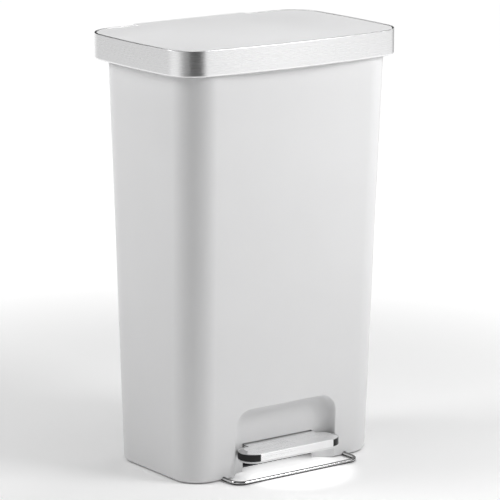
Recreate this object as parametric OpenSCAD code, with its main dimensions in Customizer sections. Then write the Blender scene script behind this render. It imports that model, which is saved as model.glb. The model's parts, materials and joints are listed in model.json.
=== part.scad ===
// Pedal trash can: tapered plastic body, banded lid on a rear hinge, and a front pedal that lifts
// the lid through a lever, a push rod and a cam.
// +X is the can's left-to-right width, -Y is the front with the pedal, +Z is up.

/* [Body] */
// Height of the body's rim above the ground
rim_z = 628; // [560:1:700]
// Width of the body at the ground
bottom_w = 347; // [320:1:370]
// Depth of the body at the ground
bottom_d = 205; // [200:1:215]
// Corner radius of the body at the ground
bottom_corner = 43.5; // [36:0.5:50]
// Width of the body at its rim
rim_w = 374; // [360:1:382]
// Depth of the body at its rim
rim_d = 246; // [243:1:248]
// Corner radius of the body at its rim
rim_corner = 48; // [40:0.5:54]
// Distance that the rim's centre lies in front of the ground's centre
rim_lean = 4.7; // [4:0.1:5]
// Thickness of the plastic walls
wall = 3; // [2.5:0.1:3.2]
// Rounding of the body's bottom edge
bottom_round = 5; // [2:0.5:8]
// Height of the inner floor, above the mechanism
floor_z = 62; // [62:1:90]

/* [Toe recess] */
// Width of the recess over the pedal
recess_w = 184; // [170:1:190]
// Height of the recess above the ground
recess_z = 102.5; // [90:0.5:115]
// Distance of the recess's back wall in front of the ground's centre
recess_back = 84; // [83:0.5:86]
// Radius of the recess's top corners
recess_corner = 28; // [20:1:34]
// Radius of the recess's back corners, seen from above
recess_side_r = 26; // [24:1:28]
// Radius between the recess's ceiling and its back wall
recess_top_r = 18; // [10:1:20]
// Width of the doorway for the pedal's tongue
doorway_w = 131; // [130:1:136]
// Height of the doorway above the ground
doorway_z = 45.2; // [45:0.1:48]

/* [Lid] */
// Width of the lid across the middle of its bowed sides
lid_w = 410; // [404:1:416]
// Distance of the lid's bowed front from the ground's centre
lid_front = 143; // [141:0.5:146]
// Distance of the lid's straight rear edge from the ground's centre
lid_rear = 133; // [132.5:0.1:133.5]
// Corner radius of the lid
lid_corner = 49; // [44:1:52]
// Radius of the bow of the lid's front and sides
lid_bow_r = 1310; // [1200:10:2000]
// Height of the top of the lid above the ground, at its crown
lid_top_z = 655; // [654.6:0.1:656]
// Height of the top edge of the steel band
band_top_z = 653.4; // [653:0.1:653.6]
// Height of the bottom edge of the steel band
band_bottom_z = 614.5; // [612:0.5:618]
// Thickness of the steel band
band_t = 1; // [0.6:0.1:1]
// Largest opening angle of the lid
lid_open = 80; // [60:1:80]

/* [Hinge] */
// Distance of the hinge axis behind the ground's centre
hinge_y = 134; // [133.5:0.1:134.5]
// Height of the hinge axis
hinge_z = 624; // [623.5:0.1:624.5]
// Radius of the hinge pins
hinge_pin_r = 2.5; // [2:0.1:2.6]
// Width of the cover over the hinge
hinge_cover_w = 206; // [200:1:210]
// Distance of the hinge cover's rear face behind the ground's centre
hinge_cover_rear = 147.5; // [147:0.1:149]

/* [Pedal and lever] */
// Distance of the pedal axle in front of the ground's centre
axle_y = 45; // [44.5:0.1:45.5]
// Height of the pedal axle
axle_z = 34; // [33.5:0.1:34.5]
// Radius of the pedal axle
axle_r = 4; // [3.6:0.1:4]
// Length of the lever from its axle to its nose
lever_len = 140; // [139.5:0.1:140.5]
// Distance of the pedal's front face in front of the ground's centre
pedal_front = 134; // [130:0.5:134.5]
// Height of the pedal's top face
pedal_z = 43.5; // [41:0.1:43.8]
// Height of the pedal cover's skirt
cover_skirt = 13.5; // [10:0.5:13.5]

/* [Push rod] */
// Distance of the push rod's axis from the outside of the rear wall
rod_inset = 9; // [8.9:0.05:9.1]
// Radius of the push rod
rod_r = 3.5; // [3:0.1:3.5]

/* [Stabiliser wire] */
// Radius of the wire
wire_r = 3; // [2.5:0.1:3]
// Half the distance between the centrelines of the wire's two legs
wire_half_w = 113; // [112:0.5:115]
// Distance of the wire's front bar in front of the ground's centre
wire_front = 138; // [137:0.5:139]

/* [Hidden] */
$fn = 96;
eps = 0.01;
// Clearances: around a running shaft, around a fixed shaft, around a screw, and between two bodies
run_gap = 0.06;
fit_gap = 0.02;
screw_gap = 0.1;
contact_gap = 0.15;

// The body's walls are straight, so every section is read between the ground and the rim
base_gap = 1.5;
rear_slope = (rim_d / 2 - rim_lean - bottom_d / 2) / rim_z;
rod_tilt = atan(rear_slope);
rod_y0 = bottom_d / 2 - rod_inset;
under_floor_z = floor_z - wall;

// Lid stack, from the rim upwards
liner_flange_t = 2;
bumper_t = 4;
lid_plate_z = rim_z + liner_flange_t + bumper_t;
lid_plate_t = 3;
panel_z = 648;
band_lip = 2.2;
panel_gap = 0.8;
skirt_in = 3.5;

// The push rod's line touches the cam's base circle, so the rod lifts by cam_r for each radian
cam_r = (hinge_y - rod_y0 - rear_slope * hinge_z) * cos(rod_tilt);
lift = cam_r * lid_open * PI / 180;
cam_low = -(lift + 6);
cam_half_w = 5;
cam_slot_half_w = 8;
cam_flange_t = 3;

// The lever swings equally below and above the horizontal, so that its lift is nearly even
lever_swing = 2 * asin(lift / (2 * lever_len * cos(rod_tilt)));
lever_rest = lever_swing / 2;
nose_r = 5;
nose_top_z = axle_z - lever_len * sin(lever_rest) + nose_r;
foot_t = nose_top_z + contact_gap;
tip_t = rod_point_t(hinge_z) + cam_low - contact_gap;

// Base plate and the wire in it
plate_z = 6.5;
plate_t = 2.5;
plate_top = plate_z + plate_t;
plate_gap = 0.5;
foot_r = 12;
foot_stem_r = 4;
wire_z = 3.4;
wire_corner = 17;
wire_end_y = -50;
wire_up_r = 9;

// Axle brackets and clips
bracket_x = 60.5;
bracket_t = 3;
bracket_r = 11;
axle_half = 67;
clip_x = 64.9;

// Channel and rod guides: rod_wall is the distance from the rod's axis to the rear wall's inside
channel_half_w = 38;
channel_depth = 29;
channel_t = 2;
channel_tab_t = 3;
channel_screw_x = channel_half_w + 6;
channel_screw_ts = [100, 330, 560];
guide_ts = [75, 545];
guide_h = 14;
guide_front = 7;
guide_screw_x = 10;
rod_wall = (rod_inset - wall) * cos(rod_tilt) - fit_gap;

// Screws: m3 is the radius of a small screw's shank, m4 of a large one's
m3 = 1.5;
m4 = 2;
head_t = 2;

// Toe recess and pedal
recess_half = recess_w / 2;
pedal_half = recess_half - 3;
pedal_corner = 23;
shoulder_front = 17;
shoulder_side = 9;
shoulder_drop = 2.2;
tongue_half = doorway_w / 2 - 1.5;
shift_y = -(hinge_cover_rear - lid_front) / 2;

boss_points = [[-100, -20], [100, -20], [-150, 30], [150, 30], [-70, 80], [70, 80]];
foot_points = [[-140, -58], [140, -58], [-140, 60], [140, 60]];
hinge_screw_points = [[-50, 584], [50, 584], [-30, 604], [30, 604]];
lid_screw_points = [[-140, -95], [0, -105], [140, -95], [-150, 60], [0, 40], [150, 60]];
cam_screw_points = [[-14, 94], [14, 94], [-14, 124.5], [14, 124.5]];
pedal_screw_points = [[-45, -110], [45, -110], [-45, -78], [45, -78]];
retainer_screw_points = [[wire_half_w - 9, wire_end_y + 9], [wire_half_w + 9, wire_end_y + 9]];
bracket_screw_points = [[74, -axle_y - 7], [74, -axle_y + 7]];
bumper_points = [[-110, -124.5], [110, -124.5], [-183.5, 20], [183.5, 20]];
ear_xs = [60, 85];
ear_t = 5;
knuckle_xs = [ear_xs[0] + ear_t + 0.2, ear_xs[1] - 0.2];
knuckle_r = 8;
bushing_r = 4;
hinge_plate_t = 3;
hinge_pin_x = 58.5;
hinge_pin_l = 33;

// Lever and pedal
arm_half_w = 9;
arm_half_h = 4;
arm_end = lever_len - 8;
lever_half = 57.5;
lever_t = 2.5;
axle_bushing_r = 6;
lever_sheet_z = 29.5;
pedal_lip_z = 27;
pedal_sheet = 0.8;

// Damper, measured along the push rod and sideways from it
damper_x = 22;
damper_y = -4;
damper_r = 9;
damper_bore_r = 7.2;
damper_rod_r = 2;
damper_t0 = 110;
damper_t1 = 190;
damper_link_t = 204;

// Liner rim
liner_z = 616;
liner_drop = 8;
liner_t = 2;

// ---- Outlines and helpers ----

function lerp(a, b, t) = a + (b - a) * t;

// Distance along the push rod of the point that lies nearest the height z of the hinge axis
function rod_point_t(z) = (hinge_y - rod_y0) * sin(rod_tilt) + z * cos(rod_tilt);

// Points of an arc, without its first point
function arc(c, r, a0, a1, n) =
    [for (i = [1 : n]) c + r * [cos(lerp(a0, a1, i / n)), sin(lerp(a0, a1, i / n))]];

// Rounded rectangle as points, centred on [0, y]
function round_rect(w, d, r, y = 0, n = 8) =
    [for (k = [0 : 3]) let (sx = (k == 0 || k == 3) ? 1 : -1, sy = k < 2 ? 1 : -1)
        for (i = [0 : n]) [sx * (w / 2 - r), y + sy * (d / 2 - r)]
            + r * [cos(90 * (k + i / n)), sin(90 * (k + i / n))]];

// Section of the body at height z, inset by e
function body_ring(z, e) = let (t = z / rim_z)
    round_rect(lerp(bottom_w, rim_w, t) - 2 * e, lerp(bottom_d, rim_d, t) - 2 * e,
        lerp(bottom_corner, rim_corner, t) - e, -rim_lean * t);

// Angle of point p seen from point c
function angle_from(c, p) = atan2(p[1] - c[1], p[0] - c[0]);

// Right half of the lid's outline, inset by e: bowed front, corner, bowed side, corner
function lid_half(e) =
    let (r = lid_corner - e, big = lid_bow_r - e, side_y = (lid_rear - lid_front) / 2)
    let (f = [0, e - lid_front + big], s = [lid_w / 2 - e - big, side_y])
    let (d = s - f, m = (s + f) / 2, h = sqrt(pow(big - r, 2) - (d * d) / 4))
    let (cf = m + h * [-d[1], d[0]] / norm(d))
    let (cr_y = lid_rear - e - r, cr = [s[0] + sqrt(pow(big - r, 2) - pow(cr_y - side_y, 2)), cr_y])
    let (a1 = angle_from(f, cf), a2 = angle_from(s, cf), a3 = angle_from(s, cr))
    concat(arc(f, big, -90, a1, 6), arc(cf, r, a1, a2, 10), arc(s, big, a2, a3, 5), arc(cr, r, a3, 90, 10));

function lid_outline(e) = let (h = lid_half(e))
    concat([[0, e - lid_front]], h, [for (i = [len(h) - 1 : -1 : 0]) [-h[i][0], h[i][1]]]);

module placed() translate([0, shift_y, 0]) children();

module slab(points, z, h) translate([0, 0, z]) linear_extrude(h) polygon(points);

// Solid between the body's sections at two heights, both inset by e
module body_solid(z0, z1, e) {
    hull() {
        slab(body_ring(z0, e), z0, eps);
        slab(body_ring(z1, e), z1 - eps, eps);
    }
}

// Box given by its lowest and highest corners
module block(low, high) translate(low) cube(high - low);

module block_pair(low, high) {
    block(low, high);
    mirror([1, 0, 0]) block(low, high);
}

// Cylinder along X, from x0 to x1
module x_rod(x0, x1, y, z, r) translate([x0, y, z]) rotate([0, 90, 0]) cylinder(r = r, h = x1 - x0);

// Cylinder along Y, from y0 to y1
module y_rod(x, y0, y1, z, r) translate([x, y0, z]) rotate([-90, 0, 0]) cylinder(r = r, h = y1 - y0);

// Profile drawn as [y, z] and extruded from x0 to x1
module yz_plate(x0, x1) translate([x0, 0, 0]) rotate([90, 0, 90]) linear_extrude(x1 - x0) children();

// The push rod's own frame: its axis is Z, and the rear wall lies at a constant +Y
module along_rod() translate([0, rod_y0, 0]) rotate([-rod_tilt, 0, 0]) children();

// The frame of the rear wall's outer face
module on_rear_wall() translate([0, bottom_d / 2, 0]) rotate([-rod_tilt, 0, 0]) children();

module pan_screw(shank_r, shank_l) {
    cylinder(r = shank_r, h = shank_l);
    translate([0, 0, -head_t]) cylinder(r = 2 * shank_r, h = head_t);
}

// Clearance holes along Z for small screws at the given points
module z_holes(points, z0, z1)
    for (p = points) translate([p[0], p[1], z0]) cylinder(r = m3 + screw_gap, h = z1 - z0);

// ---- Body and base ----

// Shape of the toe recess, grown by e
module recess_form(e) {
    below = 20;
    out = 80;
    front = -recess_back - out;
    intersection() {
        translate([0, -recess_back + e, 0]) rotate([90, 0, 0]) linear_extrude(out) union() {
            translate([-recess_half - e, -below])
                square([recess_w + 2 * e, recess_z - recess_corner + below]);
            translate([-recess_half + recess_corner, 0])
                square([recess_w - 2 * recess_corner, recess_z + e]);
            for (s = [-1, 1]) translate([s * (recess_half - recess_corner), recess_z - recess_corner])
                circle(r = recess_corner + e);
        }
        translate([0, 0, -below]) linear_extrude(recess_z + 2 * below) union() {
            translate([-recess_half - e, front]) square([recess_w + 2 * e, out - recess_side_r]);
            translate([-recess_half + recess_side_r, front])
                square([recess_w - 2 * recess_side_r, out + e]);
            for (s = [-1, 1]) translate([s * (recess_half - recess_side_r), -recess_back - recess_side_r])
                circle(r = recess_side_r + e);
        }
        yz_plate(-recess_w, recess_w) union() {
            translate([front, -below]) square([out + e, below + recess_z - recess_top_r]);
            translate([front, -below]) square([out - recess_top_r, below + recess_z + e]);
            translate([-recess_back - recess_top_r, recess_z - recess_top_r]) circle(r = recess_top_r + e);
        }
    }
}

module guide_screw_places()
    for (t = guide_ts) for (s = [-1, 1]) translate([s * guide_screw_x, 0, t + guide_h / 2]) children();

module cover_screw_places()
    for (t = channel_screw_ts) for (s = [-1, 1]) translate([s * channel_screw_x, 0, t]) children();

// Blind hole for a small screw in the rear wall, drawn in the push rod's frame
module wall_hole() rotate([-90, 0, 0]) cylinder(r = m3 + screw_gap, h = rod_wall + 2.2);

module body_shell() color("white") placed() difference() {
    hull() {
        slab(body_ring(base_gap, bottom_round), base_gap, eps);
        slab(body_ring(base_gap, 0.3 * bottom_round), base_gap + 0.3 * bottom_round, eps);
        slab(body_ring(base_gap, 0), base_gap + bottom_round, eps);
        slab(body_ring(rim_z, 0), rim_z - eps, eps);
    }
    difference() {
        body_solid(floor_z, rim_z + 5, wall);
        recess_form(wall);
    }
    difference() {
        body_solid(-2, under_floor_z, wall);
        recess_form(wall);
        for (p = boss_points) translate([p[0], p[1], plate_top]) cylinder(r = 5, h = 80);
    }
    recess_form(0);
    block([-doorway_w / 2, -recess_back - 5, -5], [doorway_w / 2, -recess_back + 10, doorway_z]);
    for (s = [-1, 1]) y_rod(s * wire_half_w, -115, -85, wire_z, wire_r + 0.7);
    z_holes(boss_points, 0, 28);
    along_rod() block([-channel_half_w + channel_t, -channel_depth + channel_t, 20],
        [channel_half_w - channel_t, rod_wall, 80]);
    block([-cam_slot_half_w, 100, 580], [cam_slot_half_w, 130, rim_z + 5]);
    on_rear_wall() for (p = hinge_screw_points) y_rod(p[0], -10, 10, p[1], m4 + screw_gap);
    along_rod() guide_screw_places() wall_hole();
    along_rod() cover_screw_places() wall_hole();
}

module base_plate() color("dimgray") placed() difference() {
    slab(body_ring(plate_z, wall + plate_gap), plate_z, plate_t);
    recess_form(wall + plate_gap);
    z_holes(boss_points, 0, 20);
    for (p = foot_points) translate([p[0], p[1], 0]) cylinder(r = foot_stem_r + fit_gap, h = 20);
    for (s = [-1, 1]) wire_way(s, 0.3, 20);
    for (m = [0, 1]) mirror([m, 0, 0]) {
        z_holes(retainer_screw_points, 0, 20);
        z_holes(bracket_screw_points, 0, 20);
    }
}

module base_plate_screws() color("silver") placed()
    for (p = boss_points) translate([p[0], p[1], plate_z]) pan_screw(m3, 20);

// Rubber foot with a stem that presses into the base plate
module foot(k) color("dimgray") placed() translate([foot_points[k][0], foot_points[k][1], 0]) {
    cylinder(r = foot_r, h = plate_z);
    translate([0, 0, plate_z - eps]) cylinder(r = foot_stem_r, h = plate_t + 2);
    translate([0, 0, plate_top + 0.1]) cylinder(r = foot_stem_r + 1.5, h = 2);
}

module foot_front_left() foot(0);
module foot_front_right() foot(1);
module foot_rear_left() foot(2);
module foot_rear_right() foot(3);

// Hole for the wire's upright end, with a slot as high as h for its bend
module wire_way(s, gap, h) translate([s * wire_half_w, wire_end_y, 0]) {
    cylinder(r = wire_r + gap, h = 60);
    block([-wire_r - gap, -wire_up_r, 0], [wire_r + gap, 0, h]);
}

// Quarter bend of the wire in the XY plane, around [0, 0]
module wire_bend(r, a) rotate([0, 0, a]) rotate_extrude(angle = 90) translate([r, 0]) circle(r = wire_r);

module wire_leg() {
    y_rod(wire_half_w, -wire_front + wire_corner, wire_end_y - wire_up_r, wire_z, wire_r);
    translate([wire_half_w - wire_corner, -wire_front + wire_corner, wire_z]) wire_bend(wire_corner, -90);
    translate([wire_half_w, wire_end_y - wire_up_r, wire_z + wire_up_r])
        rotate([90, 0, 90]) wire_bend(wire_up_r, -90);
    translate([wire_half_w, wire_end_y, wire_z + wire_up_r]) cylinder(r = wire_r, h = 18);
}

module stabiliser_wire() color("silver") placed() {
    $fn = 32;
    x_rod(-wire_half_w + wire_corner, wire_half_w - wire_corner, -wire_front, wire_z, wire_r);
    wire_leg();
    mirror([1, 0, 0]) wire_leg();
}

module wire_retainer(s) color("white") placed() difference() {
    translate([s * wire_half_w, wire_end_y, plate_top]) block([-13, -wire_up_r, 0], [13, 13, 16]);
    wire_way(s, 0.05, wire_z + wire_up_r);
    mirror([s < 0 ? 1 : 0, 0, 0]) z_holes(retainer_screw_points, 0, 20);
}

module wire_retainer_left() wire_retainer(-1);
module wire_retainer_right() wire_retainer(1);

module wire_retainer_screws() color("silver") placed() for (m = [0, 1]) mirror([m, 0, 0])
    for (p = retainer_screw_points) translate([p[0], p[1], plate_z]) pan_screw(m3, 11);

// ---- Pedal axle ----

module axle_bracket(s) color("silver") placed() mirror([s < 0 ? 1 : 0, 0, 0]) difference() {
    union() {
        yz_plate(bracket_x, bracket_x + bracket_t) union() {
            translate([-axle_y - bracket_r, plate_top]) square([2 * bracket_r, axle_z - plate_top]);
            translate([-axle_y, axle_z]) circle(r = bracket_r);
        }
        block([bracket_x, -axle_y - bracket_r, plate_top],
            [84, -axle_y + bracket_r, plate_top + bracket_t]);
    }
    x_rod(50, 70, -axle_y, axle_z, axle_r + fit_gap);
    z_holes(bracket_screw_points, 0, 20);
}

module axle_bracket_left() axle_bracket(-1);
module axle_bracket_right() axle_bracket(1);

module axle_bracket_screws() color("silver") placed() for (m = [0, 1]) mirror([m, 0, 0])
    for (p = bracket_screw_points) translate([p[0], p[1], plate_z]) pan_screw(m3, 8);

module pedal_axle() color("silver") placed() difference() {
    x_rod(-axle_half, axle_half, -axle_y, axle_z, axle_r);
    for (s = [-1, 1]) translate([s * clip_x, -axle_y, axle_z]) rotate([0, 90, 0]) difference() {
        cylinder(r = axle_r + 1, h = 1.2, center = true);
        cylinder(r = axle_r - 0.8, h = 2, center = true);
    }
}

module axle_clip(s) color("dimgray") placed() translate([s * clip_x, -axle_y, axle_z]) rotate([0, 90, 0])
    difference() {
        cylinder(r = axle_r + 3.5, h = 1, center = true);
        cylinder(r = axle_r - 0.75, h = 2, center = true);
        translate([-2.2, 0, -1]) cube([4.4, 12, 2]);
    }

module axle_clip_left() axle_clip(-1);
module axle_clip_right() axle_clip(1);

// ---- Push rod channel ----

module rod_guide(t) color("white") placed() along_rod() difference() {
    block([-guide_screw_x - 5, -guide_front, t], [guide_screw_x + 5, rod_wall, t + guide_h]);
    translate([0, 0, t - 1]) cylinder(r = rod_r + run_gap, h = guide_h + 2);
    for (s = [-1, 1]) translate([s * guide_screw_x, -guide_front - 1, t + guide_h / 2]) rotate([-90, 0, 0])
        cylinder(r = m3 + screw_gap, h = 20);
}

module rod_guide_lower() rod_guide(guide_ts[0]);
module rod_guide_upper() rod_guide(guide_ts[1]);

module rod_guide_screws() color("silver") placed() along_rod() guide_screw_places()
    translate([0, -guide_front, 0]) rotate([-90, 0, 0]) pan_screw(m3, guide_front + rod_wall + 2);

module channel_cover() color("whitesmoke") placed() along_rod() difference() {
    union() {
        block([-channel_half_w, -channel_depth, floor_z + 1.5], [channel_half_w, rod_wall, 612]);
        for (t = channel_screw_ts) block([-channel_screw_x - 6, rod_wall - channel_tab_t, t - 8],
            [channel_screw_x + 6, rod_wall, t + 8]);
    }
    block([-channel_half_w + channel_t, -channel_depth + channel_t, 0],
        [channel_half_w - channel_t, rod_wall + 1, 700]);
    cover_screw_places() rotate([-90, 0, 0]) cylinder(r = m3 + screw_gap, h = rod_wall + 1);
}

module channel_cover_screws() color("silver") placed() along_rod() cover_screw_places()
    translate([0, rod_wall - channel_tab_t, 0]) rotate([-90, 0, 0]) pan_screw(m3, channel_tab_t + 2);

// ---- Damper, beside the push rod ----

module damper_axis(t) along_rod() translate([damper_x, damper_y, t]) children();

module damper_cylinder() color("dimgray") placed() damper_axis(damper_t0) difference() {
    cylinder(r = damper_r, h = damper_t1 - damper_t0);
    translate([0, 0, 2]) cylinder(r = damper_bore_r, h = 100);
}

module damper_cap() color("gray") placed() damper_axis(damper_t1) difference() {
    union() {
        cylinder(r = damper_r, h = 3);
        translate([0, 0, -5]) cylinder(r = damper_bore_r - fit_gap, h = 5 + eps);
    }
    translate([0, 0, -6]) cylinder(r = damper_rod_r + run_gap, h = 12);
}

module damper_bracket() color("white") placed() along_rod() difference() {
    block([damper_x - 11, damper_y - 10.5, 140], [damper_x + 12, rod_wall, 160]);
    translate([damper_x, damper_y, 130]) cylinder(r = damper_r + fit_gap, h = 40);
}

module damper_piston() color("silver") placed() damper_axis(damper_t0) {
    translate([0, 0, 6]) cylinder(r = damper_bore_r - 0.08, h = 8);
    translate([0, 0, 14 - eps]) cylinder(r = damper_rod_r, h = 90);
}

module damper_link() color("dimgray") placed() along_rod() difference() {
    block([-6.5, damper_y - 5, damper_link_t], [damper_x + 5, 5, damper_link_t + 8]);
    translate([0, 0, damper_link_t - 4]) cylinder(r = rod_r + fit_gap, h = 20);
    translate([damper_x, damper_y, damper_link_t - 4]) cylinder(r = damper_rod_r + fit_gap, h = 20);
}

// ---- Hinge on the rear wall ----

module hinge_ear_profile() {
    translate([hinge_y, hinge_z]) union() {
        polygon([[-14, -28], [-4, -6.9], [2, 0], [-2, 7.7], [-14, 3]]);
        circle(r = knuckle_r);
    }
}

module hinge_bracket() color("white") placed() difference() {
    union() {
        on_rear_wall() block([-95, 0, 574], [95, hinge_plate_t, 626]);
        for (x = ear_xs) {
            yz_plate(x, x + ear_t) hinge_ear_profile();
            yz_plate(-x - ear_t, -x) hinge_ear_profile();
        }
        block([-11, 118, 576], [11, 143, 608]);
    }
    block([-cam_slot_half_w - 0.5, 110, 578], [cam_slot_half_w + 0.5, 141, 640]);
    x_rod(-100, 100, hinge_y, hinge_z, hinge_pin_r + fit_gap);
    on_rear_wall() for (p = hinge_screw_points) y_rod(p[0], -10, 10, p[1], m4 + screw_gap);
    on_rear_wall() block([-100, -10, 560], [100, 0, 640]);
}

module hinge_bracket_screws() color("silver") placed() on_rear_wall() for (p = hinge_screw_points) {
    translate([p[0], hinge_plate_t, p[1]]) rotate([90, 0, 0]) pan_screw(m4, hinge_plate_t + wall);
    translate([p[0], -wall, p[1]]) rotate([90, 0, 0]) cylinder(r = 3.6, h = 2.4, $fn = 6);
}

module hinge_pin(x) color("silver") placed() x_rod(x, x + hinge_pin_l, hinge_y, hinge_z, hinge_pin_r);
module hinge_pin_left() hinge_pin(-hinge_pin_x - hinge_pin_l);
module hinge_pin_right() hinge_pin(hinge_pin_x);

// ---- Liner rim ----

module liner_rim() color("gainsboro") placed() difference() {
    union() {
        slab(body_ring(rim_z, 0.5), rim_z, liner_flange_t);
        slab(body_ring(liner_z, wall + 0.5), liner_z, rim_z - liner_z + eps);
        liner_hole(liner_t, liner_z - liner_drop, liner_drop + 1);
    }
    slab(body_ring(liner_z, wall + 0.5 + liner_t), liner_z + liner_t, 20);
    liner_hole(0, liner_z - 20, 60);
    block([-cam_slot_half_w, 70, 600], [cam_slot_half_w, 130, 640]);
}

// Hole that the bag's edge is folded through, grown by e
module liner_hole(e, z, h)
    slab(round_rect(330 + 2 * e, 190 + 2 * e, 36 + e, -22.5), z, h);

// ---- Lever and pedal ----

// The lever's own frame: its axle is the origin and its rear arm runs along +Y
module lever_frame() translate([0, -axle_y, axle_z]) rotate([-lever_rest, 0, 0]) children();

module pedal_lever() color("silver") placed() difference() {
    union() {
        block([-lever_half, -124, lever_sheet_z], [lever_half, -66, lever_sheet_z + lever_t]);
        block([-lever_half, -66 - lever_t, 25], [lever_half, -66, 41]);
        for (m = [0, 1]) mirror([m, 0, 0]) yz_plate(lever_half - lever_t, lever_half) union() {
            translate([-66 - lever_t, 27]) square([66 + lever_t - axle_y, 14]);
            translate([-axle_y, axle_z]) circle(r = 10);
        }
        block([-arm_half_w, -67, 27], [arm_half_w, -axle_y, 41]);
        x_rod(-arm_half_w, arm_half_w, -axle_y, axle_z, 9);
        lever_frame() block([-arm_half_w, -8, -arm_half_h], [arm_half_w, arm_end, arm_half_h]);
    }
    x_rod(-30, 30, -axle_y, axle_z, axle_r + 0.6);
    for (m = [0, 1]) mirror([m, 0, 0])
        x_rod(lever_half - 4, lever_half + 1, -axle_y, axle_z, axle_bushing_r + fit_gap);
    lever_frame() block([-arm_half_w + 2, 10, -arm_half_h - 1],
        [arm_half_w - 2, arm_end - 14, arm_half_h - 2]);
    z_holes(pedal_screw_points, 0, 60);
}

module axle_bushing(s) color("white") placed() mirror([s < 0 ? 1 : 0, 0, 0]) difference() {
    union() {
        x_rod(54, lever_half + 0.1, -axle_y, axle_z, axle_bushing_r);
        x_rod(lever_half + 0.05, 60, -axle_y, axle_z, axle_bushing_r + 2);
    }
    x_rod(50, 70, -axle_y, axle_z, axle_r + run_gap);
}

module axle_bushing_left() axle_bushing(-1);
module axle_bushing_right() axle_bushing(1);

module lever_nose() color("white") placed() lever_frame() difference() {
    union() {
        block([-arm_half_w - 2, arm_end - 10, -arm_half_h - 2],
            [arm_half_w + 2, lever_len, arm_half_h - 0.5]);
        x_rod(-arm_half_w - 2, arm_half_w + 2, lever_len, 0, nose_r);
    }
    block([-arm_half_w - fit_gap, 0, -arm_half_h - fit_gap],
        [arm_half_w + fit_gap, arm_end + fit_gap, arm_half_h + fit_gap]);
}

// The pedal's outline: bowed ends, round front corners, and a tongue through the doorway
module pedal_outline(e, tongue_back) {
    r = pedal_corner - e;
    back = recess_back + 4;
    union() {
        translate([-pedal_half + e, -pedal_front + pedal_corner])
            square([2 * pedal_half - 2 * e, pedal_front - pedal_corner - recess_back - recess_side_r]);
        translate([-pedal_half + pedal_corner, -pedal_front + e])
            square([2 * (pedal_half - pedal_corner), pedal_front - back - 2 * e]);
        for (s = [-1, 1]) {
            translate([s * (pedal_half - pedal_corner), -pedal_front + pedal_corner]) circle(r = r);
            translate([s * (pedal_half - pedal_corner), -recess_back - recess_side_r])
                circle(r = r - 1);
        }
        translate([-tongue_half + e, -120]) square([2 * tongue_half - 2 * e, 120 - tongue_back]);
    }
}

// Right half of the space over the pedal's shoulder, where its top slopes down to its front and its
// end, lowered by e
module over_shoulder(e) {
    rise = 5;
    front = [pedal_front - shoulder_front, pedal_front + shoulder_front];
    side = [pedal_half - shoulder_side, pedal_half + shoulder_side];
    translate([0, 0, pedal_z - e]) {
        yz_plate(-1, pedal_half + 5) polygon([[-front[0], 0], [-front[1], -2 * shoulder_drop],
            [-front[1], rise], [-front[0], rise]]);
        translate([0, -recess_back, 0]) rotate([90, 0, 0]) linear_extrude(60)
            polygon([[side[0], 0], [side[1], -2 * shoulder_drop], [side[1], rise], [side[0], rise]]);
    }
}

// Solid under the pedal's top face, from the height z and inset by e
module pedal_solid(z, e, tongue_back) difference() {
    translate([0, 0, z]) linear_extrude(pedal_z - e - z) pedal_outline(e, tongue_back);
    over_shoulder(e);
    mirror([1, 0, 0]) over_shoulder(e);
}

module pedal_body() color("white") placed() difference() {
    union() {
        translate([0, 0, pedal_lip_z]) linear_extrude(pedal_z - cover_skirt - pedal_lip_z)
            pedal_outline(0.4, 72);
        pedal_solid(pedal_lip_z, pedal_sheet + 0.1, 72);
    }
    block([-lever_half - 0.5, -124.5, 0], [lever_half + 0.5, -60, lever_sheet_z + lever_t + 0.05]);
    block([-52, -118, 30], [52, -85, 37]);
    for (s = [-1, 1]) block([s * 70 - 8, -120, 20], [s * 70 + 8, -100, 37]);
    z_holes(pedal_screw_points, 0, 39);
}

module pedal_cover() color("silver") placed() difference() {
    pedal_solid(pedal_z - cover_skirt, 0, 71);
    pedal_solid(0, pedal_sheet, 50);
}

module pedal_screws() color("silver") placed()
    for (p = pedal_screw_points) translate([p[0], p[1], lever_sheet_z]) pan_screw(m3, 9);

// ---- Push rod ----

module push_rod() color("silver") placed() along_rod()
    translate([0, 0, foot_t + 4]) cylinder(r = rod_r, h = tip_t - foot_t - 8);

module rod_foot() color("white") placed() along_rod() translate([0, 0, foot_t]) difference() {
    cylinder(r = 5.4, h = 18);
    translate([0, 0, 4]) cylinder(r = rod_r + fit_gap, h = 20);
}

module rod_tip() color("white") placed() along_rod() translate([0, 0, tip_t]) mirror([0, 0, 1])
    difference() {
        cylinder(r = 5.4, h = 18);
        translate([0, 0, 4]) cylinder(r = rod_r + fit_gap, h = 20);
    }

// ---- Lid ----

// Outline of the top panel inside the band's lip, inset by e
function panel_outline(e) = lid_outline(band_lip + panel_gap + e);

// Outline of the lid's step over the hinge, inset by e
module hinge_cover_outline(e) {
    half = hinge_cover_w / 2;
    corner = 6;
    start = lid_rear - 8;
    union() {
        translate([-half + e, start]) square([2 * half - 2 * e, hinge_cover_rear - corner - start]);
        translate([-half + corner, start]) square([2 * (half - corner), hinge_cover_rear - e - start]);
        for (s = [-1, 1]) translate([s * (half - corner), hinge_cover_rear - corner])
            circle(r = corner - e);
    }
}

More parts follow.
